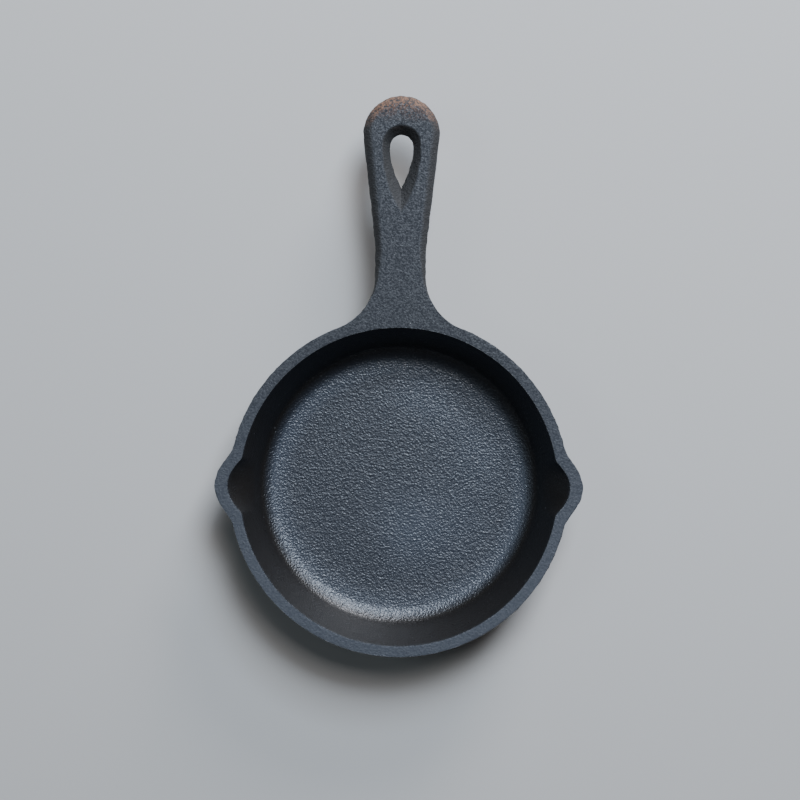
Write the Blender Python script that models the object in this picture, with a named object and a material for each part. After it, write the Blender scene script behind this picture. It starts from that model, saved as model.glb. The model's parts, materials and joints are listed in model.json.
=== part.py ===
"""Small cast iron skillet, cast in one piece: a round pan with two pour spouts and a short handle.

Units are metres and +Z is up. The origin is the centre of the flat base, the handle points along +Y
and the pour spouts are at +X and -X. The half on the +X side is built as one grid and then mirrored.
"""
import math
from collections import namedtuple

import bmesh
import bpy
from mathutils import Vector

# Pan
RIM_RADIUS = 0.0635  # outside of the rim between the spouts
RIM_LAND = 0.00445  # width of the flat ring on top of the wall
PAN_HEIGHT = 0.025
FLOOR_THICKNESS = 0.004
WALL_DRAFT = math.radians(20.5)  # lean of both faces of the wall from the vertical
INNER_CORNER = 0.0075  # radius between the cooking floor and the wall
OUTER_CORNER = 0.0115  # radius between the base and the wall
EDGE_CHAMFER = 0.0004  # break on the sharp edges of the rim

# Pour spouts: how far a face bulges at the rim, its half width there, how fast the hump falls off
# to each side, and how far down the wall the bulge runs out
Spout = namedtuple("Spout", "reach half_width falloff depth")
OUTER_SPOUT = Spout(reach=0.0055, half_width=0.0146, falloff=1.9, depth=0.0155)
INNER_SPOUT = Spout(reach=0.0045, half_width=0.0111, falloff=1.3, depth=0.0125)
SPOUT_RUNOUT = 1.4  # above 1, the bulge runs out in a hollow curve

# Handle, measured along +Y from the middle of the pan
ROOT_HALF_ANGLE = math.radians(21.0)  # stretch of rim that the flared root takes up, each side
NECK_HALF_WIDTH = 0.0094
HEAD_RADIUS = 0.0143
HEAD_Y = 0.1315
HANDLE_TAPER = math.radians(6.75)  # each side, from the neck to the head
NECK_BLEND = 0.003  # softens the corner between the neck and the tapered side
HANDLE_THICKNESS = 0.008
NECK_INSET = 0.00275  # from the handle's widest line to the edge of its flat top
HEAD_INSET = 0.0035
INSET_START_Y = 0.064  # the flanks stand upright this near the pan, and lean in more and more
INSET_END_Y = 0.089  # until here
FLANK_START = math.radians(20.0)  # the rounded flank leaves the flat top at this slope
CAP_ANGLE = math.radians(45.0)  # the end of the head is closed between this bearing and its mirror

# Hanging hole: a teardrop that narrows from the top face to a waist and opens again below it. Its
# lower end is pointed where sharpness is above 1, with straighter sides the higher it is.
Teardrop = namedtuple("Teardrop", "radius centre_y tip_y depth sharpness")
HOLE_TOP = Teardrop(radius=0.0074, centre_y=0.1273, tip_y=0.1017, depth=0.0, sharpness=1.6)
HOLE_WAIST = Teardrop(radius=0.0044, centre_y=0.1270, tip_y=0.1113, depth=0.005, sharpness=2.3)
HOLE_BOTTOM = Teardrop(radius=0.0050, centre_y=0.1270, tip_y=0.1100, depth=HANDLE_THICKNESS,
                       sharpness=2.0)

# Number of steps in each direction of the grid
HALF_TURN_STEPS = 60  # this times the root angle over 180 degrees has to be whole
CORNER_STEPS = 4
WALL_STEPS = 6
FLANK_STEPS = 6
ROOT_STEPS = 6
NECK_STEPS = 4
HOLE_TIP_STEPS = 8
HOLE_HEAD_STEPS = 5
FUNNEL_STEPS = 3
ACROSS_STEPS = round(ROOT_HALF_ANGLE / math.pi * HALF_TURN_STEPS)

CAST_IRON_COLOUR = (0.045, 0.048, 0.056, 1.0)


def mix(start, end, amount):
    """Point or number part of the way from start to end."""
    return start + (end - start) * amount


def smooth_step(value):
    """Ease from 0 to 1, held at both ends."""
    held = min(max(value, 0.0), 1.0)
    return held * held * (3.0 - 2.0 * held)


# ---------------------------------------------------------------- pan


def spout_bulge(spout, offset, z):
    """How far the wall bulges outward at a sideways offset from the spout's middle and a height."""
    across = 1.0 - (offset / spout.half_width) ** 2
    down = 1.0 - (PAN_HEIGHT - z) / spout.depth
    if across <= 0.0 or down <= 0.0:
        return 0.0
    return spout.reach * across ** spout.falloff * down ** SPOUT_RUNOUT


def wall_face(top_radius, floor_z, corner_radius):
    """Radius and height along one face of the wall, from the flat floor to just below the rim."""
    centre_z = floor_z + corner_radius
    rise = PAN_HEIGHT - centre_z
    reach = (corner_radius + rise * math.sin(WALL_DRAFT)) / math.cos(WALL_DRAFT)
    centre_radius = top_radius - reach
    points = []
    for step in range(CORNER_STEPS + 1):
        angle = (math.pi / 2.0 - WALL_DRAFT) * step / CORNER_STEPS
        radius = centre_radius + corner_radius * math.sin(angle)
        points.append((radius, centre_z - corner_radius * math.cos(angle)))
    wall_foot = points[-1][1]
    for step in range(1, WALL_STEPS + 1):
        z = mix(wall_foot, PAN_HEIGHT - EDGE_CHAMFER, step / WALL_STEPS)
        points.append((top_radius - (PAN_HEIGHT - z) * math.tan(WALL_DRAFT), z))
    return points


def half_ring(bm, radius, z, spout):
    """Vertices over half a turn, from -Y past the spout at +X to +Y."""
    ring = []
    for step in range(HALF_TURN_STEPS + 1):
        bearing = math.pi * (step / HALF_TURN_STEPS - 0.5)
        reach = radius + spout_bulge(spout, RIM_RADIUS * math.sin(bearing), z)
        ring.append(bm.verts.new((reach * math.cos(bearing), reach * math.sin(bearing), z)))
    return ring


def pan_rings(bm):
    """Rings of the pan from the edge of the base, over the rim, to the edge of the cooking floor."""
    rings = []
    for radius, z in wall_face(RIM_RADIUS, 0.0, OUTER_CORNER):
        rings.append(half_ring(bm, radius, z, OUTER_SPOUT))
    rings.append(half_ring(bm, RIM_RADIUS - EDGE_CHAMFER, PAN_HEIGHT, OUTER_SPOUT))
    inner_radius = RIM_RADIUS - RIM_LAND
    rings.append(half_ring(bm, inner_radius + EDGE_CHAMFER, PAN_HEIGHT, INNER_SPOUT))
    for radius, z in reversed(wall_face(inner_radius, FLOOR_THICKNESS, INNER_CORNER)):
        rings.append(half_ring(bm, radius, z, INNER_SPOUT))
    return rings


def skin_pan(bm, rings, root_rings):
    """Faces of the pan, left open where the root of the handle joins the outside of the wall."""
    root_start = HALF_TURN_STEPS - ACROSS_STEPS
    for index in range(len(rings) - 1):
        last_step = root_start if index in root_rings else HALF_TURN_STEPS
        for step in range(last_step):
            bm.faces.new((rings[index][step], rings[index][step + 1],
                          rings[index + 1][step + 1], rings[index + 1][step]))
    for ring, z in ((rings[0], 0.0), (rings[-1], FLOOR_THICKNESS)):
        centre = bm.verts.new((0.0, 0.0, z))
        for step in range(HALF_TURN_STEPS):
            bm.faces.new((centre, ring[step], ring[step + 1]))


# ---------------------------------------------------------------- handle


def root_flare():
    """Centre and radius of the concave arc, in plan, from the rim to the neck."""
    sine = math.sin(ROOT_HALF_ANGLE)
    radius = (RIM_RADIUS * sine - NECK_HALF_WIDTH) / (1.0 - sine)
    centre_y = (RIM_RADIUS + radius) * math.cos(ROOT_HALF_ANGLE)
    return Vector((NECK_HALF_WIDTH + radius, centre_y)), radius


def side_point(y):
    """Point of the handle's widest line between the neck and the middle of the head, with its normal."""
    blend_y = HEAD_Y - (HEAD_RADIUS - NECK_HALF_WIDTH * math.cos(HANDLE_TAPER)) / math.sin(HANDLE_TAPER)
    if y > HEAD_Y - HEAD_RADIUS * math.sin(HANDLE_TAPER):
        return head_point(math.asin((y - HEAD_Y) / HEAD_RADIUS))
    along = y - blend_y
    root = math.hypot(along, NECK_BLEND)
    half_width = NECK_HALF_WIDTH + math.tan(HANDLE_TAPER) * (along + root) / 2.0
    slope = math.tan(HANDLE_TAPER) * (1.0 + along / root) / 2.0
    return Vector((half_width, y)), Vector((1.0, -slope)).normalized()


def head_point(bearing):
    """Point of the head's widest line at a bearing from +X, with its normal."""
    normal = Vector((math.cos(bearing), math.sin(bearing)))
    return Vector((0.0, HEAD_Y)) + HEAD_RADIUS * normal, normal


def handle_inset(y):
    """Distance from the widest line to the edge of the flat top, growing from the root to the head."""
    neck_y = root_flare()[0].y
    inset = mix(NECK_INSET, HEAD_INSET, smooth_step((y - neck_y) / (HEAD_Y - neck_y)))
    return inset * smooth_step((y - INSET_START_Y) / (INSET_END_Y - INSET_START_Y))


def flank(place, inset):
    """Rounded side of the handle at one place on its widest line, from the top face to the bottom."""
    point, normal = place
    points = []
    for step in range(FLANK_STEPS + 1):
        angle = mix(FLANK_START, math.pi - FLANK_START, step / FLANK_STEPS)
        outward = (math.sin(angle) - math.sin(FLANK_START)) / (1.0 - math.sin(FLANK_START))
        depth = HANDLE_THICKNESS / 2.0 * (1.0 - math.cos(angle) / math.cos(FLANK_START))
        edge = point - normal * inset * (1.0 - outward)
        points.append(Vector((edge.x, edge.y, PAN_HEIGHT - depth)))
    return points


def section(place, inset, middle_top, middle_bottom):
    """Half loop round the handle: across the top, down the flank and back across the bottom."""
    side = flank(place, inset)
    top = [mix(middle_top, side[0], step / ACROSS_STEPS) for step in range(ACROSS_STEPS)]
    bottom = [mix(side[-1], middle_bottom, step / ACROSS_STEPS) for step in range(1, ACROSS_STEPS + 1)]
    return top + side + bottom


def on_seam(y, depth):
    """Point in the plane that the two halves share."""
    return Vector((0.0, y, PAN_HEIGHT - depth))


def teardrop_point(shape, bearing):
    """Point of a teardrop at a bearing from -90 degrees at its lower tip to +90 at its round end."""
    if bearing < 0.0:
        x = shape.radius * math.cos(bearing) ** shape.sharpness
        y = shape.centre_y + (shape.centre_y - shape.tip_y) * math.sin(bearing)
    else:
        x = shape.radius * math.cos(bearing)
        y = shape.centre_y + shape.radius * math.sin(bearing)
    return Vector((x, y, PAN_HEIGHT - shape.depth))


def root_loops(rim_loop):
    """Loops of the flared root. Every lengthwise line copies the arc of the outline, scaled to fit."""
    centre, radius = root_flare()
    start_x = centre.x - radius * math.sin(ROOT_HALF_ANGLE)
    start_y = centre.y - radius * math.cos(ROOT_HALF_ANGLE)
    loops = []
    for step in range(1, ROOT_STEPS + 1):
        bearing = mix(math.pi / 2.0 - ROOT_HALF_ANGLE, 0.0, step / ROOT_STEPS)
        x = centre.x - radius * math.cos(bearing)
        y = centre.y - radius * math.sin(bearing)
        inward = (start_x - x) / (start_x - NECK_HALF_WIDTH)
        along = (y - start_y) / (centre.y - start_y)
        neck = section(side_point(centre.y), handle_inset(y), on_seam(centre.y, 0.0),
                       on_seam(centre.y, HANDLE_THICKNESS))
        loops.append([Vector((mix(rim.x, end.x, inward), mix(rim.y, end.y, along), mix(rim.z, end.z, inward)))
                      for rim, end in zip(rim_loop, neck)])
    return loops


def neck_loops():
    """Loops from the neck up to the lower tip of the hanging hole."""
    neck_y = root_flare()[0].y
    loops = []
    for step in range(1, NECK_STEPS):
        y = mix(neck_y, HOLE_TOP.tip_y, step / NECK_STEPS)
        bottom_y = mix(neck_y, HOLE_BOTTOM.tip_y, step / NECK_STEPS)
        loops.append(section(side_point(y), handle_inset(y), on_seam(y, 0.0),
                             on_seam(bottom_y, HANDLE_THICKNESS)))
    return loops


def hole_bearings():
    """Bearings round half of the hole, from its lower tip to its round end."""
    tip = [-math.pi / 2.0 * (1.0 - step / HOLE_TIP_STEPS) for step in range(HOLE_TIP_STEPS)]
    head = [math.pi / 2.0 * step / HOLE_HEAD_STEPS for step in range(HOLE_HEAD_STEPS + 1)]
    return tip + head


def hole_loop(bearing):
    """Loop of the handle that starts and ends on the edge of the hanging hole."""
    top = teardrop_point(HOLE_TOP, bearing)
    bottom = teardrop_point(HOLE_BOTTOM, bearing)
    if bearing < 0.0:
        along = (top.y - HOLE_TOP.tip_y) / (HOLE_TOP.centre_y - HOLE_TOP.tip_y)
        place = side_point(mix(HOLE_TOP.tip_y, HEAD_Y, along))
    else:
        place = head_point(bearing * 0.8 * CAP_ANGLE / (math.pi / 2.0))
    return section(place, handle_inset(place[0].y), top, bottom)


def hole_wall(bearing):
    """Points between the top and bottom edges of the hole: a rounded funnel down to the waist."""
    top = teardrop_point(HOLE_TOP, bearing)
    waist = teardrop_point(HOLE_WAIST, bearing)
    points = []
    for step in range(1, FUNNEL_STEPS + 1):
        angle = math.pi / 2.0 * step / FUNNEL_STEPS
        edge = mix(top, waist, math.sin(angle))
        edge.z = mix(top.z, waist.z, step / FUNNEL_STEPS)
        points.append(edge)
    return points


def cap_columns():
    """Flanks round the end of the head, from the seam to the last loop of the handle."""
    columns = []
    for step in range(ACROSS_STEPS + 1):
        place = head_point(mix(math.pi / 2.0, CAP_ANGLE, step / ACROSS_STEPS))
        columns.append(flank(place, HEAD_INSET))
    return columns


def new_verts(bm, points):
    return [bm.verts.new(point) for point in points]


def bridge(bm, first, second):
    """Quads between two rows of as many vertices."""
    for index in range(len(first) - 1):
        bm.faces.new((first[index], first[index + 1], second[index + 1], second[index]))


def rim_verts(rings, root_rings):
    """Vertices round the opening that the handle grows from, in the order of a handle section."""
    top_ring = rings[root_rings.stop]
    bottom_ring = rings[root_rings.start]
    side_step = HALF_TURN_STEPS - ACROSS_STEPS
    top = [top_ring[HALF_TURN_STEPS - step] for step in range(ACROSS_STEPS)]
    side = [rings[index][side_step] for index in range(root_rings.stop, root_rings.start - 1, -1)]
    bottom = [bottom_ring[side_step + step] for step in range(1, ACROSS_STEPS + 1)]
    return top + side + bottom


def add_handle(bm, rings, root_rings):
    """Loops from the rim to the head, the wall of the hanging hole and the rounded end."""
    loop = rim_verts(rings, root_rings)
    for points in root_loops([vert.co.copy() for vert in loop]) + neck_loops():
        following = new_verts(bm, points)
        bridge(bm, loop, following)
        loop = following

    wall = None
    for bearing in hole_bearings():
        following = new_verts(bm, hole_loop(bearing))
        bridge(bm, loop, following)
        loop = following
        next_wall = [loop[0]] + new_verts(bm, hole_wall(bearing)) + [loop[-1]]
        if wall:
            bridge(bm, next_wall, wall)
        wall = next_wall

    columns = cap_columns()
    top = [column[0] for column in columns[:-1]]
    bottom = [column[-1] for column in columns[-2::-1]]
    following = new_verts(bm, top + columns[-1] + bottom)
    bridge(bm, loop, following)
    side = following[ACROSS_STEPS:ACROSS_STEPS + FLANK_STEPS + 1]
    for step in range(ACROSS_STEPS - 1, -1, -1):
        between = new_verts(bm, columns[step][1:-1])
        column = [following[step]] + between + [following[-1 - step]]
        bridge(bm, side, column)
        side = column


# ---------------------------------------------------------------- object


def cast_iron():
    """Bare seasoned iron: dark, slightly blue and half glossy."""
    material = bpy.data.materials.new("cast_iron")
    material.use_nodes = True
    shader = material.node_tree.nodes["Principled BSDF"]
    shader.inputs["Base Color"].default_value = CAST_IRON_COLOUR
    shader.inputs["Metallic"].default_value = 0.6
    shader.inputs["Roughness"].default_value = 0.55
    return material


def skillet_casting():
    """The whole skillet as one closed mesh."""
    bm = bmesh.new()
    rings = pan_rings(bm)
    rim_ring = CORNER_STEPS + WALL_STEPS + 1
    root_rings = range(rim_ring - FLANK_STEPS, rim_ring)
    skin_pan(bm, rings, root_rings)
    add_handle(bm, rings, root_rings)
    half = bm.verts[:] + bm.edges[:] + bm.faces[:]
    bmesh.ops.mirror(bm, geom=half, axis="X", merge_dist=0.00001)
    bmesh.ops.recalc_face_normals(bm, faces=bm.faces[:])

    mesh = bpy.data.meshes.new("skillet_casting")
    bm.to_mesh(mesh)
    bm.free()
    mesh.shade_smooth()
    mesh.set_sharp_from_angle(angle=math.radians(30.0))
    mesh.materials.append(cast_iron())
    casting = bpy.data.objects.new("skillet_casting", mesh)
    bpy.context.scene.collection.objects.link(casting)
    return casting


def main():
    for old in list(bpy.data.objects):
        bpy.data.objects.remove(old, do_unlink=True)
    skillet_casting()


main()
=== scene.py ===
"""Looks of the small cast iron skillet: a fine mesh of the casting, its material, light and camera.

Units are metres. The casting is one piece. Its half on the +X side is laid out as rows of vertices,
mirrored, and then given the uneven skin of sand-cast iron.
"""
import json
import math
from collections import namedtuple

import bmesh
import bpy
import numpy as np
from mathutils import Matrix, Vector, noise


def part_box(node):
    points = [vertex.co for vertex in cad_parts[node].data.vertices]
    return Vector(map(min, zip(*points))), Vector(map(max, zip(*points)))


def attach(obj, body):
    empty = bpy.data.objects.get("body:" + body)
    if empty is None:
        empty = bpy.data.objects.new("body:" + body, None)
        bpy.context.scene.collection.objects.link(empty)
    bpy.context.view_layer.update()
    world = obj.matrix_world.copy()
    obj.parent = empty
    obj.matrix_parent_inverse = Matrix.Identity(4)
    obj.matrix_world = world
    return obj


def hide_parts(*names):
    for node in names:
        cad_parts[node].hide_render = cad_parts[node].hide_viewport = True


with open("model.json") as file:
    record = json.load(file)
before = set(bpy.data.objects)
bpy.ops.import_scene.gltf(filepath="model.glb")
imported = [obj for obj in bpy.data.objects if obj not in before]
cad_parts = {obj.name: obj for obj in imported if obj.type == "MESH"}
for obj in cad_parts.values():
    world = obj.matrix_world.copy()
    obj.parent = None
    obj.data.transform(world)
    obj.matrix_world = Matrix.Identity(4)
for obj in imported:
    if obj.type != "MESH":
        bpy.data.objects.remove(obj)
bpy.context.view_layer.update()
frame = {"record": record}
LOW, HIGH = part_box("skillet_casting")
MOUNTS = {mount["name"]: mount for mount in frame["record"]["mounts"]}

# Pan, with its main sizes read from the frame
RIM_RADIUS = -LOW.y
PAN_HEIGHT = HIGH.z
FLOOR_Z = MOUNTS["cooking_floor"]["pos_m"][2]
RIM_LAND = 2.0 * (RIM_RADIUS + MOUNTS["rim"]["pos_m"][1])  # the rim's mount is in the middle of it
WALL_DRAFT = math.radians(20.5)
INNER_CORNER = 0.0075
OUTER_CORNER = 0.0115
EDGE_ROUND = 0.00035
DISH_RISE = 0.0004  # the cooking floor curves up by this much before it meets the corner
DISH_WIDTH = 0.011

Spout = namedtuple("Spout", "reach half_width falloff depth")
OUTER_SPOUT = Spout(reach=HIGH.x - RIM_RADIUS, half_width=0.0146, falloff=1.9, depth=0.0155)
INNER_SPOUT = Spout(reach=OUTER_SPOUT.reach - 0.0007, half_width=0.0111, falloff=1.3, depth=0.0125)
SPOUT_RUNOUT = 1.4

# Handle
ROOT_HALF_ANGLE = math.radians(21.0)
NECK_HALF_WIDTH = 0.0094
HEAD_RADIUS = 0.0143
HEAD_Y = HIGH.y - HEAD_RADIUS
HANDLE_TAPER = math.radians(6.75)
NECK_BLEND = 0.003
HANDLE_THICKNESS = 0.008
NECK_INSET = 0.00275
HEAD_INSET = 0.0035
OPENING_START_Y = 0.064  # the flanks are upright up to here, and lean in more and more
OPENING_END_Y = 0.089  # until here
FLANK_START = math.radians(20.0)
CAP_ANGLE = math.radians(45.0)

# Hanging hole, more pointed at its lower end the higher its sharpness is
Teardrop = namedtuple("Teardrop", "radius centre_y tip_y depth sharpness")
HOLE_TOP = Teardrop(radius=0.0074, centre_y=HEAD_Y - 0.0042, tip_y=HEAD_Y - 0.0298, depth=0.0,
                    sharpness=1.6)
HOLE_WAIST = Teardrop(radius=0.0044, centre_y=HEAD_Y - 0.0045, tip_y=HEAD_Y - 0.0202, depth=0.005,
                      sharpness=2.3)
HOLE_BOTTOM = Teardrop(radius=0.0050, centre_y=HEAD_Y - 0.0045, tip_y=HEAD_Y - 0.0215,
                       depth=HANDLE_THICKNESS, sharpness=2.0)

# Steps of the grid
FLOOR_RINGS = 120
FLOOR_STEPS = 3 * FLOOR_RINGS  # over half a turn, which keeps the floor's triangles nearly equal
RIM_STEPS = 240
BASE_RINGS = 30
CORNER_STEPS = 11
INNER_WALL_STEPS = 19
LAND_STEPS = 7
ROUND_STEPS = 4
OUTER_WALL_STEPS = 12
OUTER_CORNER_STEPS = 6
SIDE_STEPS = 10  # the root joins the wall over this many of its steps, down from the rim's edge
FLANK_STEPS = ROUND_STEPS + SIDE_STEPS
ACROSS_STEPS = round(ROOT_HALF_ANGLE / math.pi * RIM_STEPS)
ROOT_STEPS = 18
NECK_STEPS = 24
HOLE_TIP_STEPS = 28
HOLE_HEAD_STEPS = 12
FUNNEL_STEPS = 8
HOLE_FOOT_STEPS = 3
END_STEPS = 7


def mix(start, end, amount):
    """Point or number part of the way from start to end."""
    return start + (end - start) * amount


def smooth_step(value):
    """Ease from 0 to 1, held at both ends."""
    held = min(max(value, 0.0), 1.0)
    return held * held * (3.0 - 2.0 * held)


# ---------------------------------------------------------------- rows of vertices


def new_verts(bm, points):
    return [bm.verts.new(point) for point in points]


def stitch(bm, first, second):
    """Skin between two rows: quads where they have as many vertices, triangles where they don't."""
    if len(first) == len(second):
        for index in range(len(first) - 1):
            bm.faces.new((first[index], first[index + 1], second[index + 1], second[index]))
        return
    here, there = 0, 0
    while here < len(first) - 1 or there < len(second) - 1:
        next_here = (here + 1) / (len(first) - 1) if here < len(first) - 1 else 2.0
        next_there = (there + 1) / (len(second) - 1) if there < len(second) - 1 else 2.0
        if next_here <= next_there:
            bm.faces.new((first[here], first[here + 1], second[there]))
            here += 1
        else:
            bm.faces.new((first[here], second[there + 1], second[there]))
            there += 1


# ---------------------------------------------------------------- pan


def spout_bulge(spout, offset, z):
    """How far the wall bulges outward at a sideways offset from the spout's middle and a height."""
    across = 1.0 - (offset / spout.half_width) ** 2
    down = 1.0 - (PAN_HEIGHT - z) / spout.depth
    if across <= 0.0 or down <= 0.0:
        return 0.0
    return spout.reach * across ** spout.falloff * down ** SPOUT_RUNOUT


def corner_points(top_radius, floor_z, corner_radius, steps):
    """Radius and height along the arc between a flat floor and a drafted wall."""
    centre_z = floor_z + corner_radius
    rise = PAN_HEIGHT - centre_z
    reach = (corner_radius + rise * math.sin(WALL_DRAFT)) / math.cos(WALL_DRAFT)
    points = []
    for step in range(steps + 1):
        angle = (math.pi / 2.0 - WALL_DRAFT) * step / steps
        radius = top_radius - reach + corner_radius * math.sin(angle)
        points.append((radius, centre_z - corner_radius * math.cos(angle)))
    return points


def wall_points(top_radius, foot_z, steps):
    """Radius and height up a drafted wall face, without its foot, as far as the rounded rim edge."""
    points = []
    for step in range(1, steps + 1):
        z = mix(foot_z, PAN_HEIGHT - EDGE_ROUND, step / steps)
        points.append((top_radius - (PAN_HEIGHT - z) * math.tan(WALL_DRAFT), z))
    return points


def edge_points(edge_radius, side):
    """Radius and height over a rounded rim edge, from the wall to the flat land. Side is 1 outside."""
    wall_radius = edge_radius - EDGE_ROUND * math.tan(WALL_DRAFT)
    land_radius = edge_radius - side * EDGE_ROUND
    points = []
    for step in range(1, ROUND_STEPS + 1):
        angle = math.pi / 2.0 * step / ROUND_STEPS
        z = PAN_HEIGHT - EDGE_ROUND * (1.0 - math.sin(angle))
        points.append((mix(land_radius, wall_radius, math.cos(angle)), z))
    return points


def half_ring(bm, radius, z, spout, steps):
    """Vertices over half a turn, from -Y past the spout at +X to +Y."""
    ring = []
    for step in range(steps + 1):
        bearing = math.pi * (step / steps - 0.5)
        reach = radius + spout_bulge(spout, RIM_RADIUS * math.sin(bearing), z)
        ring.append(bm.verts.new((reach * math.cos(bearing), reach * math.sin(bearing), z)))
    return ring


def outer_rings(bm):
    """Rings from the edge of the base up to the land's outer edge."""
    points = corner_points(RIM_RADIUS, 0.0, OUTER_CORNER, OUTER_CORNER_STEPS)
    points += wall_points(RIM_RADIUS, points[-1][1], OUTER_WALL_STEPS)
    points += edge_points(RIM_RADIUS, 1.0)
    return [half_ring(bm, radius, z, OUTER_SPOUT, RIM_STEPS) for radius, z in points]


def land_rings(bm):
    """Rings across the flat land, between its two rounded edges."""
    rings = []
    for step in range(1, LAND_STEPS):
        across = step / LAND_STEPS
        radius = mix(RIM_RADIUS - EDGE_ROUND, RIM_RADIUS - RIM_LAND + EDGE_ROUND, across)
        ring = []
        for turn in range(RIM_STEPS + 1):
            bearing = math.pi * (turn / RIM_STEPS - 0.5)
            offset = RIM_RADIUS * math.sin(bearing)
            bulge = mix(spout_bulge(OUTER_SPOUT, offset, PAN_HEIGHT),
                        spout_bulge(INNER_SPOUT, offset, PAN_HEIGHT), across)
            reach = radius + bulge
            ring.append(bm.verts.new((reach * math.cos(bearing), reach * math.sin(bearing), PAN_HEIGHT)))
        rings.append(ring)
    return rings


def inner_rings(bm):
    """Rings from the land's inner edge down to the edge of the cooking floor."""
    inner_radius = RIM_RADIUS - RIM_LAND
    corner = corner_points(inner_radius, FLOOR_Z, INNER_CORNER, CORNER_STEPS)
    wall = wall_points(inner_radius, corner[-1][1], INNER_WALL_STEPS)
    rings = [half_ring(bm, radius, z, INNER_SPOUT, RIM_STEPS)
             for radius, z in reversed(wall + edge_points(inner_radius, -1.0))]
    rings += [half_ring(bm, radius, z, INNER_SPOUT, FLOOR_STEPS) for radius, z in reversed(corner)]
    return rings


def fill_disc(bm, edge, radius, z, ring_count):
    """Even triangles from an edge ring to the middle of a flat disc."""
    outer = edge
    for ring in range(ring_count, 0, -1):
        inner = half_ring(bm, radius * ring / ring_count, z, INNER_SPOUT, 3 * ring)
        stitch(bm, outer, inner)
        outer = inner
    stitch(bm, outer, new_verts(bm, [(0.0, 0.0, z)]))


def skin_pan(bm, rings, root_rings):
    """Faces of the pan, left open where the root of the handle joins the outside of the wall."""
    for index in range(len(rings) - 1):
        kept = len(rings[index]) - (ACROSS_STEPS if index in root_rings else 0)
        stitch(bm, rings[index][:kept], rings[index + 1][:kept] if index in root_rings else rings[index + 1])


# ---------------------------------------------------------------- handle


def root_flare():
    """Centre and radius of the concave arc, in plan, from the rim to the neck."""
    sine = math.sin(ROOT_HALF_ANGLE)
    radius = (RIM_RADIUS * sine - NECK_HALF_WIDTH) / (1.0 - sine)
    centre_y = (RIM_RADIUS + radius) * math.cos(ROOT_HALF_ANGLE)
    return Vector((NECK_HALF_WIDTH + radius, centre_y)), radius


def head_point(bearing):
    """Point of the head's widest line at a bearing from +X, with its normal."""
    normal = Vector((math.cos(bearing), math.sin(bearing)))
    return Vector((0.0, HEAD_Y)) + HEAD_RADIUS * normal, normal


def side_point(y):
    """Point of the handle's widest line between the neck and the middle of the head, with its normal."""
    blend_y = HEAD_Y - (HEAD_RADIUS - NECK_HALF_WIDTH * math.cos(HANDLE_TAPER)) / math.sin(HANDLE_TAPER)
    if y > HEAD_Y - HEAD_RADIUS * math.sin(HANDLE_TAPER):
        return head_point(math.asin((y - HEAD_Y) / HEAD_RADIUS))
    along = y - blend_y
    root = math.hypot(along, NECK_BLEND)
    half_width = NECK_HALF_WIDTH + math.tan(HANDLE_TAPER) * (along + root) / 2.0
    slope = math.tan(HANDLE_TAPER) * (1.0 + along / root) / 2.0
    return Vector((half_width, y)), Vector((1.0, -slope)).normalized()


def handle_inset(y):
    """Distance from the widest line to the edge of the flat top, growing from neck to head."""
    neck_y = root_flare()[0].y
    return mix(NECK_INSET, HEAD_INSET, smooth_step((y - neck_y) / (HEAD_Y - neck_y)))


def flank_openness(y):
    """0 where the flanks are upright, near the pan, and 1 where they are fully rounded."""
    return smooth_step((y - OPENING_START_Y) / (OPENING_END_Y - OPENING_START_Y))


def open_flank(step):
    """Inward share of the inset and depth on the rounded flank, a half ellipse."""
    angle = mix(FLANK_START, math.pi - FLANK_START, step / FLANK_STEPS)
    inward = 1.0 - (math.sin(angle) - math.sin(FLANK_START)) / (1.0 - math.sin(FLANK_START))
    depth = HANDLE_THICKNESS / 2.0 * (1.0 - math.cos(angle) / math.cos(FLANK_START))
    return inward, depth


def upright_flank(step):
    """Inward distance and depth on the upright side of the root, under its rounded top edge."""
    if step <= ROUND_STEPS:
        angle = math.pi / 2.0 * step / ROUND_STEPS
        return EDGE_ROUND * (1.0 - math.sin(angle)), EDGE_ROUND * (1.0 - math.cos(angle))
    return 0.0, mix(EDGE_ROUND, HANDLE_THICKNESS, (step - ROUND_STEPS) / SIDE_STEPS)


def flank(place, inset, openness=1.0):
    """Side of the handle at one place on its widest line, from the top face to the bottom."""
    point, normal = place
    points = []
    for step in range(FLANK_STEPS + 1):
        share, open_depth = open_flank(step)
        upright_inward, upright_depth = upright_flank(step)
        edge = point - normal * mix(upright_inward, inset * share, openness)
        depth = mix(upright_depth, open_depth, openness)
        points.append(Vector((edge.x, edge.y, PAN_HEIGHT - depth)))
    return points


def half_loop(side, middle_top, middle_bottom):
    """Half loop round the handle: across the top, down the side and back across the bottom."""
    top = [mix(middle_top, side[0], step / ACROSS_STEPS) for step in range(ACROSS_STEPS)]
    bottom = [mix(side[-1], middle_bottom, step / ACROSS_STEPS) for step in range(1, ACROSS_STEPS + 1)]
    return top + side + bottom


def on_seam(y, depth):
    """Point in the plane that the two halves share."""
    return Vector((0.0, y, PAN_HEIGHT - depth))


def teardrop_point(shape, bearing):
    """Point of a teardrop at a bearing from -90 degrees at its lower tip to +90 at its round end."""
    if bearing < 0.0:
        x = shape.radius * math.cos(bearing) ** shape.sharpness
        y = shape.centre_y + (shape.centre_y - shape.tip_y) * math.sin(bearing)
    else:
        x = shape.radius * math.cos(bearing)
        y = shape.centre_y + shape.radius * math.sin(bearing)
    return Vector((x, y, PAN_HEIGHT - shape.depth))


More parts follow.
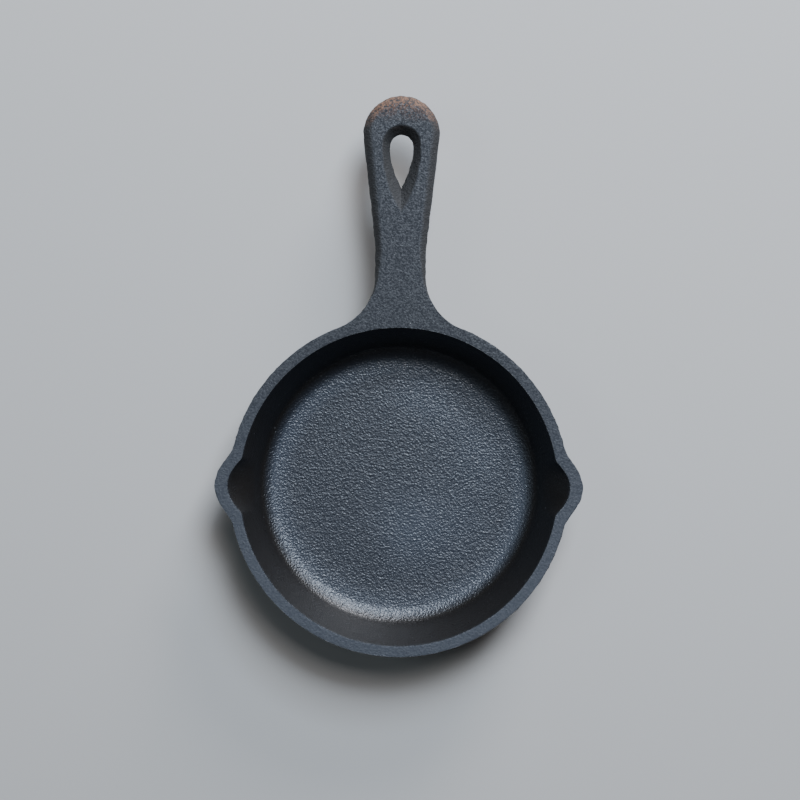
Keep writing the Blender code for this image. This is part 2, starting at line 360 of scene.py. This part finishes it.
def root_loops(rim_loop):
    """Loops of the flared root. Every lengthwise line copies the arc of the outline, scaled to fit."""
    centre, radius = root_flare()
    start_x = centre.x - radius * math.sin(ROOT_HALF_ANGLE)
    start_y = centre.y - radius * math.cos(ROOT_HALF_ANGLE)
    loops = []
    for step in range(1, ROOT_STEPS + 1):
        bearing = mix(math.pi / 2.0 - ROOT_HALF_ANGLE, 0.0, step / ROOT_STEPS)
        x = centre.x - radius * math.cos(bearing)
        y = centre.y - radius * math.sin(bearing)
        inward = (start_x - x) / (start_x - NECK_HALF_WIDTH)
        along = (y - start_y) / (centre.y - start_y)
        neck = half_loop(flank(side_point(centre.y), NECK_INSET, flank_openness(y)),
                         on_seam(centre.y, 0.0), on_seam(centre.y, HANDLE_THICKNESS))
        loops.append([Vector((mix(rim.x, end.x, inward), mix(rim.y, end.y, along), mix(rim.z, end.z, inward)))
                      for rim, end in zip(rim_loop, neck)])
    return loops


def neck_loops():
    """Loops from the neck up to the lower tip of the hanging hole."""
    neck_y = root_flare()[0].y
    loops = []
    for step in range(1, NECK_STEPS):
        y = mix(neck_y, HOLE_TOP.tip_y, step / NECK_STEPS)
        bottom_y = mix(neck_y, HOLE_BOTTOM.tip_y, step / NECK_STEPS)
        loops.append(half_loop(flank(side_point(y), handle_inset(y), flank_openness(y)), on_seam(y, 0.0),
                               on_seam(bottom_y, HANDLE_THICKNESS)))
    return loops


def hole_bearings():
    """Bearings round half of the hole, from its lower tip to its round end."""
    tip = [-math.pi / 2.0 * (1.0 - step / HOLE_TIP_STEPS) for step in range(HOLE_TIP_STEPS)]
    head = [math.pi / 2.0 * step / HOLE_HEAD_STEPS for step in range(HOLE_HEAD_STEPS + 1)]
    return tip + head


def hole_loop(bearing):
    """Loop of the handle that starts and ends on the edge of the hanging hole."""
    top = teardrop_point(HOLE_TOP, bearing)
    bottom = teardrop_point(HOLE_BOTTOM, bearing)
    if bearing < 0.0:
        along = (top.y - HOLE_TOP.tip_y) / (HOLE_TOP.centre_y - HOLE_TOP.tip_y)
        place = side_point(mix(HOLE_TOP.tip_y, HEAD_Y, along))
    else:
        place = head_point(bearing * 0.8 * CAP_ANGLE / (math.pi / 2.0))
    return half_loop(flank(place, handle_inset(place[0].y)), top, bottom)


def hole_wall(bearing):
    """Points between the top and bottom edges of the hole: a rounded funnel, a waist and a short foot."""
    top = teardrop_point(HOLE_TOP, bearing)
    waist = teardrop_point(HOLE_WAIST, bearing)
    bottom = teardrop_point(HOLE_BOTTOM, bearing)
    points = []
    for step in range(1, FUNNEL_STEPS + 1):
        edge = mix(top, waist, math.sin(math.pi / 2.0 * step / FUNNEL_STEPS))
        edge.z = mix(top.z, waist.z, step / FUNNEL_STEPS)
        points.append(edge)
    for step in range(1, HOLE_FOOT_STEPS):
        points.append(mix(waist, bottom, step / HOLE_FOOT_STEPS))
    return points


def cap_columns():
    """Flanks round the end of the head, from the seam to the last loop of the handle."""
    columns = []
    for step in range(ACROSS_STEPS + 1):
        place = head_point(mix(math.pi / 2.0, CAP_ANGLE, step / ACROSS_STEPS))
        columns.append(flank(place, HEAD_INSET))
    return columns


def rim_verts(rings, root_rings):
    """Vertices round the opening that the handle grows from, in the order of a handle loop."""
    top_ring = rings[root_rings.stop]
    bottom_ring = rings[root_rings.start]
    side_step = RIM_STEPS - ACROSS_STEPS
    top = [top_ring[RIM_STEPS - step] for step in range(ACROSS_STEPS)]
    side = [rings[index][side_step] for index in range(root_rings.stop, root_rings.start - 1, -1)]
    bottom = [bottom_ring[side_step + step] for step in range(1, ACROSS_STEPS + 1)]
    return top + side + bottom


def add_hole_rows(bm, loop):
    """Loops past the hanging hole, with the wall of the hole between their two ends."""
    wall = None
    for bearing in hole_bearings():
        following = new_verts(bm, hole_loop(bearing))
        stitch(bm, loop, following)
        loop = following
        next_wall = [loop[0]] + new_verts(bm, hole_wall(bearing)) + [loop[-1]]
        if wall:
            stitch(bm, next_wall, wall)
        wall = next_wall
    return loop


def add_end(bm, loop):
    """Loops beyond the hole and the rounded end of the head."""
    columns = cap_columns()
    top = [column[0] for column in columns[:-1]]
    bottom = [column[-1] for column in columns[-2::-1]]
    last = top + columns[-1] + bottom
    start = [vert.co.copy() for vert in loop]
    for step in range(1, END_STEPS + 1):
        following = new_verts(bm, [mix(near, far, step / END_STEPS) for near, far in zip(start, last)])
        stitch(bm, loop, following)
        loop = following
    side = loop[ACROSS_STEPS:ACROSS_STEPS + FLANK_STEPS + 1]
    for step in range(ACROSS_STEPS - 1, -1, -1):
        column = [loop[step]] + new_verts(bm, columns[step][1:-1]) + [loop[-1 - step]]
        stitch(bm, side, column)
        side = column


def add_handle(bm, rings, root_rings):
    """The whole handle, grown from the opening in the outside of the wall."""
    loop = rim_verts(rings, root_rings)
    for points in root_loops([vert.co.copy() for vert in loop]) + neck_loops():
        following = new_verts(bm, points)
        stitch(bm, loop, following)
        loop = following
    add_end(bm, add_hole_rows(bm, loop))


def casting_mesh():
    """Smooth skin of the casting, before its surface is roughened, and its cooking floor's radius."""
    bm = bmesh.new()
    outside = outer_rings(bm)
    rings = outside + land_rings(bm) + inner_rings(bm)
    root_rings = range(len(outside) - 1 - FLANK_STEPS, len(outside) - 1)
    skin_pan(bm, rings, root_rings)
    floor_radius = rings[-1][-1].co.y
    fill_disc(bm, rings[-1], floor_radius * (1.0 - 1.0 / FLOOR_RINGS), FLOOR_Z, FLOOR_RINGS - 1)
    base_radius = rings[0][-1].co.y
    fill_disc(bm, rings[0], base_radius * (1.0 - 1.0 / BASE_RINGS), 0.0, BASE_RINGS - 1)
    add_handle(bm, rings, root_rings)
    half = bm.verts[:] + bm.edges[:] + bm.faces[:]
    bmesh.ops.mirror(bm, geom=half, axis="X", merge_dist=0.00001)
    bmesh.ops.recalc_face_normals(bm, faces=bm.faces[:])
    mesh = bpy.data.meshes.new("skillet")
    bm.to_mesh(mesh)
    bm.free()
    return mesh, floor_radius


# ---------------------------------------------------------------- cast surface


Patch = namedtuple("Patch", "x y radius amount")
PAINTED_SHEEN_PATCHES = (  # painted sheen on the cooking floor in brighter patches, the one towards the handle making up for light that the wall shades off; painted shade where the amount is negative
    Patch(x=0.005, y=-0.017, radius=0.014, amount=0.55),
    Patch(x=0.032, y=0.014, radius=0.016, amount=0.4),
    Patch(x=0.026, y=-0.016, radius=0.016, amount=0.25),
    Patch(x=0.012, y=0.037, radius=0.013, amount=0.55),
    Patch(x=-0.016, y=-0.026, radius=0.012, amount=-0.15),
)
PAINTED_SHEEN_RING_WIDTH = 0.007  # painted sheen on the outer part of the cooking floor
PAINTED_SHEEN_FADE = 0.003  # distance over which the painted sheen ends in the inner corner

# Sizes of the bumps in the skin
PEBBLE_SIZE = 0.0008
LUMP_SIZE = 0.0019
WAVE_SIZE = 0.02

# Heights of the bumps, up or down
FLOOR_PEBBLES = 0.00003
WALL_LUMPS = 0.00003
WALL_PEBBLES = 0.00001
OUTSIDE_LUMPS = 0.00022
OUTSIDE_PEBBLES = 0.00012
TOP_BUMPS = 0.00001
EDGE_LUMPS = 0.00005
EDGE_CHIPS = 0.0004
WAVE_HEIGHT = 0.00008


def ease(values, low, high):
    """smooth_step over an array, from 0 at low to 1 at high."""
    held = np.clip((values - low) / (high - low), 0.0, 1.0)
    return held * held * (3.0 - 2.0 * held)


def grain(points, size, seed):
    """Smooth noise from -1 to 1 whose bumps are about as large as size."""
    shift = Vector((seed * 7.3, seed * 3.1, seed * 5.7))
    scale = 1.0 / size
    return np.array([noise.noise(Vector(point) * scale + shift) for point in points])


def read_vectors(mesh, name):
    """Coordinates or normals of all vertices, one row each."""
    values = np.empty(len(mesh.vertices) * 3)
    mesh.vertices.foreach_get(name, values)
    return values.reshape(-1, 3)


def sheen(points, floor_radius):
    """Painted sheen of the cooking floor at each point: brighter patches and a brighter outer ring, stronger
    towards the handle and ending sooner there.
    """
    radius = np.hypot(points[:, 0], points[:, 1])
    total = np.zeros(len(points))
    for patch in PAINTED_SHEEN_PATCHES:
        away = np.hypot(points[:, 0] - patch.x, points[:, 1] - patch.y) / patch.radius
        total += patch.amount * np.exp(-away ** 2)
    ring = ease(radius, floor_radius - PAINTED_SHEEN_RING_WIDTH, floor_radius + PAINTED_SHEEN_RING_WIDTH / 4.0)
    up = points[:, 1] / np.maximum(radius, 0.001)  # 1 towards the handle and -1 away from it
    # The painted ring is brighter towards the handle, where the wall shades the floor from the lights, and
    # stops sooner there, leaving that corner dark.
    ring *= 0.7 + 0.3 * up
    limit = floor_radius + 0.0015 - 0.0010 * up
    return np.maximum(total, ring) * (1.0 - ease(radius, limit, limit + PAINTED_SHEEN_FADE))


def roughen(mesh, floor_radius):
    """Moves the skin in and out like sand-cast iron, and keeps masks of its zones for the material."""
    points = read_vectors(mesh, "co")
    normals = read_vectors(mesh, "normal")
    radius = np.hypot(points[:, 0], points[:, 1])
    height = points[:, 2]
    facing_up = normals[:, 2]

    flat_top = ease(height, PAN_HEIGHT - 0.0002, PAN_HEIGHT - 0.00002) * ease(facing_up, 0.85, 0.97)
    edge = ease(height, PAN_HEIGHT - 0.0006, PAN_HEIGHT - 0.0001) * (1.0 - flat_top)
    in_pan = (radius < RIM_RADIUS - RIM_LAND / 2.0 + OUTER_SPOUT.reach) & (points[:, 1] < RIM_RADIUS)
    inside = (in_pan & (facing_up > 0.05) & (flat_top < 0.5)).astype(float)
    pebbled = inside * ease(facing_up, 0.6, 0.98)
    base = ease(-facing_up, 0.7, 0.95) * (height < 0.001)
    rough = (1.0 - flat_top) * (1.0 - inside) * (1.0 - 0.7 * base)

    pebbles = grain(points, PEBBLE_SIZE, 1)
    lumps = grain(points, LUMP_SIZE, 2)
    waves = grain(points, WAVE_SIZE, 3)
    relief = pebbled * FLOOR_PEBBLES * pebbles
    relief += (inside - pebbled) * (WALL_LUMPS * lumps + WALL_PEBBLES * pebbles)
    relief += rough * (OUTSIDE_LUMPS * lumps + OUTSIDE_PEBBLES * pebbles)
    relief += flat_top * TOP_BUMPS * (pebbles + lumps)
    relief += edge * EDGE_LUMPS * lumps
    relief += edge * (points[:, 1] > RIM_RADIUS + RIM_LAND) * EDGE_CHIPS * np.minimum(lumps + 0.1, 0.0)
    relief += (1.0 - pebbled) * WAVE_HEIGHT * waves
    dish = np.clip((radius - floor_radius) / DISH_WIDTH + 1.0, 0.0, 1.0) ** 2
    dish *= inside * (1.0 - ease(height, FLOOR_Z, FLOOR_Z + INNER_CORNER))
    points += normals * relief[:, None]
    points[:, 2] += DISH_RISE * dish
    points[:, 2] = np.maximum(points[:, 2], 0.0)
    mesh.vertices.foreach_set("co", points.ravel())

    # The sheen mask is the painted sheen of the cooking floor, with painted shade in one patch.
    masks = {"pebbled": pebbled, "flat_top": flat_top, "inside": inside, "edge": edge, "rough": rough,
             "steep": inside * (1.0 - facing_up),
             "sheen": pebbled * sheen(points, floor_radius)}
    for name, values in masks.items():
        attribute = mesh.attributes.new(name, "FLOAT", "POINT")
        attribute.data.foreach_set("value", values.astype(np.float32))
    mesh.update()


# ---------------------------------------------------------------- material


class Nodes:
    """Short names for the shader nodes that the material is made from."""

    def __init__(self, material):
        material.use_nodes = True
        self.tree = material.node_tree
        self.shader = self.tree.nodes["Principled BSDF"]
        self.place = self.tree.nodes.new("ShaderNodeTexCoord").outputs["Object"]

    def feed(self, socket, value):
        """Links an output to a socket, or sets the socket to a plain value."""
        if isinstance(value, bpy.types.NodeSocket):
            self.tree.links.new(value, socket)
        else:
            socket.default_value = value

    def noise(self, size, detail=2.0, roughness=0.5, distortion=0.0):
        """Noise whose features are about as large as size, from 0 to 1."""
        node = self.tree.nodes.new("ShaderNodeTexNoise")
        node.inputs["Scale"].default_value = 1.0 / size
        node.inputs["Detail"].default_value = detail
        node.inputs["Roughness"].default_value = roughness
        node.inputs["Distortion"].default_value = distortion
        self.tree.links.new(self.place, node.inputs["Vector"])
        return node.outputs["Fac"]

    def mask(self, name):
        """Zone mask kept on the mesh."""
        node = self.tree.nodes.new("ShaderNodeAttribute")
        node.attribute_name = name
        return node.outputs["Fac"]

    def span(self, value, low, high, to_low=0.0, to_high=1.0):
        """Maps a range to another, eased and held at both ends."""
        node = self.tree.nodes.new("ShaderNodeMapRange")
        node.interpolation_type = "SMOOTHSTEP"
        for socket, given in zip(("From Min", "From Max", "To Min", "To Max"), (low, high, to_low, to_high)):
            node.inputs[socket].default_value = given
        self.feed(node.inputs["Value"], value)
        return node.outputs["Result"]

    def math(self, operation, first, second=0.0):
        node = self.tree.nodes.new("ShaderNodeMath")
        node.operation = operation
        self.feed(node.inputs[0], first)
        self.feed(node.inputs[1], second)
        return node.outputs["Value"]

    def blend(self, amount, first, second):
        """Colour part of the way from first to second."""
        node = self.tree.nodes.new("ShaderNodeMix")
        node.data_type = "RGBA"
        self.feed(node.inputs["Factor"], amount)
        self.feed(node.inputs["A"], first)
        self.feed(node.inputs["B"], second)
        return node.outputs["Result"]

    def axis(self, name):
        """One coordinate of the point being shaded."""
        node = self.tree.nodes.new("ShaderNodeSeparateXYZ")
        self.tree.links.new(self.place, node.inputs["Vector"])
        return node.outputs[name]

    def bump(self, height, distance):
        """Normal raised by a height from 0 to 1 that stands for a distance in metres."""
        node = self.tree.nodes.new("ShaderNodeBump")
        node.inputs["Distance"].default_value = distance
        self.feed(node.inputs["Height"], height)
        return node.outputs["Normal"]


WALL_COLOUR = (0.0075, 0.0060, 0.0048, 1.0)
TOP_COLOUR = (0.0100, 0.0120, 0.0160, 1.0)
RIM_PAINTED_LIGHT_COLOUR = (0.036, 0.041, 0.051, 1.0)  # painted light: the flat top is lighter on the side away from the handle
FLOOR_COLOUR = (0.0085, 0.0105, 0.0160, 1.0)
# painted sheen of the cooking floor
PAINTED_SHEEN_COLOUR = (0.038, 0.046, 0.060, 1.0)
SKIN_COLOUR = (0.0085, 0.0075, 0.0070, 1.0)
EDGE_COLOUR = (0.040, 0.044, 0.052, 1.0)
RUST_COLOUR = (0.16, 0.075, 0.038, 1.0)
SPECK_COLOUR = (0.16, 0.16, 0.16, 1.0)

# Sizes of the grain in the material
PIT_SIZE = 0.00075
GRIT_SIZE = 0.00045
SPECK_SIZE = 0.0011
SPECK_GROUP_SIZE = 0.008
RUST_GRAIN_SIZE = 0.0008
RUST_PATCH_SIZE = 0.004
PIT_SHARE = 0.85  # of the fine relief, with grit as the rest
PIT_DEPTH = 0.0004

# Rusty end of the handle
RUST_START_Y = HIGH.y - 0.011
RUST_FULL_Y = HIGH.y + 0.001
RUST_WAVER = 0.006  # how far the edge of the rust wanders
RUST_TOP_LAG = 0.003  # how much later the rust starts on the flat top


def iron_colour(nodes, grit, painted_sheen_mask):
    """Colour by zone, with painted sheen on the cooking floor, painted light on the rim's flat top away from
    the handle, worn edges, rust on the end of the handle and a few pale specks.
    """
    flat_top = nodes.mask("flat_top")
    colour = nodes.blend(nodes.mask("inside"), SKIN_COLOUR, WALL_COLOUR)
    # Painted sheen: the cooking floor is lighter in its patches and outer ring, and darker in one patch as
    # painted shade.
    floor_colour_with_painted_sheen = nodes.blend(nodes.span(painted_sheen_mask, -0.4, 0.9), FLOOR_COLOUR, PAINTED_SHEEN_COLOUR)
    colour = nodes.blend(nodes.mask("pebbled"), colour, floor_colour_with_painted_sheen)
    # Painted light: the flat top is lighter on the rim, away from the handle.
    top_colour_with_painted_light = nodes.blend(nodes.span(nodes.axis("Y"), -0.04, 0.07), RIM_PAINTED_LIGHT_COLOUR, TOP_COLOUR)
    colour = nodes.blend(flat_top, colour, top_colour_with_painted_light)
    wear = nodes.math("MULTIPLY", nodes.mask("edge"), nodes.span(grit, 0.4, 0.7))
    colour = nodes.blend(wear, colour, EDGE_COLOUR)

    waver = nodes.math("MULTIPLY", nodes.noise(RUST_PATCH_SIZE), RUST_WAVER)
    rust_edge = nodes.math("ADD", nodes.axis("Y"), waver)
    rust_edge = nodes.math("SUBTRACT", rust_edge, nodes.math("MULTIPLY", flat_top, RUST_TOP_LAG))
    rust = nodes.math("MULTIPLY", nodes.span(rust_edge, RUST_START_Y, RUST_FULL_Y),
                      nodes.span(nodes.noise(RUST_GRAIN_SIZE, 4.0), 0.36, 0.6))
    colour = nodes.blend(rust, colour, RUST_COLOUR)
    specks = nodes.math("MULTIPLY", nodes.span(nodes.noise(SPECK_SIZE), 0.72, 0.76),
                        nodes.span(nodes.noise(SPECK_GROUP_SIZE), 0.45, 0.6))
    return nodes.blend(specks, colour, SPECK_COLOUR)


def iron_roughness(nodes, pits, grit, relief, painted_sheen_mask):
    """Glossier on bumps, where the sheen is painted and on the pan's wall, duller on the flat top and the
    outside.
    """
    smooth = nodes.math("ADD", relief, nodes.math("MULTIPLY", painted_sheen_mask, 0.35))
    dullness = nodes.span(smooth, 0.3, 0.9, 0.47, 0.34)
    dullness = nodes.math("SUBTRACT", dullness, nodes.math("MULTIPLY", nodes.mask("steep"), 0.15))
    dull_top = nodes.span(nodes.math("ADD", pits, grit), 0.75, 1.25, 0.52, 0.18)
    dullness = nodes.math("ADD", dullness, nodes.math("MULTIPLY", nodes.mask("flat_top"), dull_top))
    return nodes.math("ADD", dullness, nodes.math("MULTIPLY", nodes.mask("rough"), 0.38))


def seasoned_iron():
    """Seasoned iron: blue-grey on the cooking floor and flat tops, with painted sheen and painted light where
    they are brighter, brown-black in the wall, rusty at the handle's end.
    """
    material = bpy.data.materials.new("seasoned_cast_iron")
    nodes = Nodes(material)
    shader = nodes.shader
    # Painted sheen of the cooking floor, with painted shade in one patch; it sets both the colour and the
    # gloss.
    painted_sheen_mask = nodes.mask("sheen")
    pits = nodes.noise(PIT_SIZE, 1.0, 0.5, 0.4)
    grit = nodes.noise(GRIT_SIZE, 1.0, 0.5)
    relief = nodes.math("ADD", nodes.math("MULTIPLY", pits, PIT_SHARE),
                        nodes.math("MULTIPLY", grit, 1.0 - PIT_SHARE))

    nodes.feed(shader.inputs["Base Color"], iron_colour(nodes, grit, painted_sheen_mask))
    nodes.feed(shader.inputs["Roughness"], iron_roughness(nodes, pits, grit, relief, painted_sheen_mask))
    shader.inputs["Metallic"].default_value = 0.0
    shader.inputs["Specular IOR Level"].default_value = 0.8

    height = nodes.math("MULTIPLY", relief, nodes.span(nodes.mask("flat_top"), 0.0, 1.0, 1.0, 0.5))
    height = nodes.math("MULTIPLY", height, nodes.span(nodes.mask("steep"), 0.2, 0.6, 1.0, 0.4))
    nodes.feed(shader.inputs["Normal"], nodes.bump(height, PIT_DEPTH))
    return material


# ---------------------------------------------------------------- object, light and camera


def add_skillet():
    """The one visible piece, which stands in for the solid casting."""
    mesh, floor_radius = casting_mesh()
    roughen(mesh, floor_radius)
    mesh.shade_smooth()
    mesh.materials.append(seasoned_iron())
    skillet = bpy.data.objects.new("skillet", mesh)
    bpy.context.scene.collection.objects.link(skillet)
    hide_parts("skillet_casting")
    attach(skillet, "root")


FLOOR_SIZE = 3.0
CAMERA_HEIGHT = 0.600  # above the rim
VIEW_WIDTH = 0.2969  # seen across the picture at the height of the rim
VIEW_CENTRE = Vector((0.0002, 0.0323))
VIEW_TURN = math.radians(0.5)
SENSOR = 36.0

Lamp = namedtuple("Lamp", "name place size power colour")
LAMPS = (
    Lamp("top_light", Vector((0.28, 0.70, 1.30)), 0.6, 10.0, (0.96, 0.96, 1.0)),
    Lamp("key_light", Vector((0.38, 0.95, 1.12)), 0.6, 28.0, (0.66, 0.81, 1.0)),
    Lamp("low_light", Vector((0.50, 1.25, 0.42)), 0.5, 18.0, (0.94, 0.94, 1.0)),
    Lamp("side_light", Vector((-0.95, 0.10, 1.10)), 0.5, 2.0, (0.72, 0.88, 1.0)),
)
PALE_COLOUR = (0.50, 0.475, 0.445, 1.0)
SKY_COLOUR = (0.80, 0.88, 1.0, 1.0)
SKY_STRENGTH = 0.04


def add_floor():
    """Plain pale surface under the base."""
    mesh = bpy.data.meshes.new("floor")
    half = FLOOR_SIZE / 2.0
    mesh.from_pydata([(-half, -half, 0.0), (half, -half, 0.0), (half, half, 0.0), (-half, half, 0.0)],
                     [], [(0, 1, 2, 3)])
    material = bpy.data.materials.new("floor")
    material.use_nodes = True
    shader = material.node_tree.nodes["Principled BSDF"]
    shader.inputs["Base Color"].default_value = PALE_COLOUR
    shader.inputs["Roughness"].default_value = 0.9
    mesh.materials.append(material)
    floor = bpy.data.objects.new("floor", mesh)
    bpy.context.scene.collection.objects.link(floor)


def add_light(lamp):
    """Square soft light that faces the middle of the skillet."""
    light = bpy.data.lights.new(lamp.name, "AREA")
    light.shape = "SQUARE"
    light.size = lamp.size
    light.energy = lamp.power
    light.color = lamp.colour
    seat = bpy.data.objects.new(lamp.name, light)
    seat.location = lamp.place
    aim = Vector((0.0, HIGH.y / 4.0, 0.0)) - lamp.place
    seat.rotation_euler = aim.to_track_quat("-Z", "Y").to_euler()
    bpy.context.scene.collection.objects.link(seat)


def add_sky():
    """Faint even light from all round."""
    world = bpy.data.worlds.new("studio")
    world.use_nodes = True
    background = world.node_tree.nodes["Background"]
    background.inputs["Color"].default_value = SKY_COLOUR
    background.inputs["Strength"].default_value = SKY_STRENGTH
    bpy.context.scene.world = world


def add_camera():
    """Straight down on the skillet, with the handle pointing up in the picture."""
    camera = bpy.data.cameras.new("camera")
    camera.sensor_width = SENSOR
    camera.lens = SENSOR * CAMERA_HEIGHT / VIEW_WIDTH
    seat = bpy.data.objects.new("camera", camera)
    seat.location = (VIEW_CENTRE.x, VIEW_CENTRE.y, PAN_HEIGHT + CAMERA_HEIGHT)
    seat.rotation_euler = (0.0, 0.0, VIEW_TURN)
    bpy.context.scene.collection.objects.link(seat)
    bpy.context.scene.camera = seat


add_skillet()
add_floor()
for lamp in LAMPS:
    add_light(lamp)
add_sky()
add_camera()
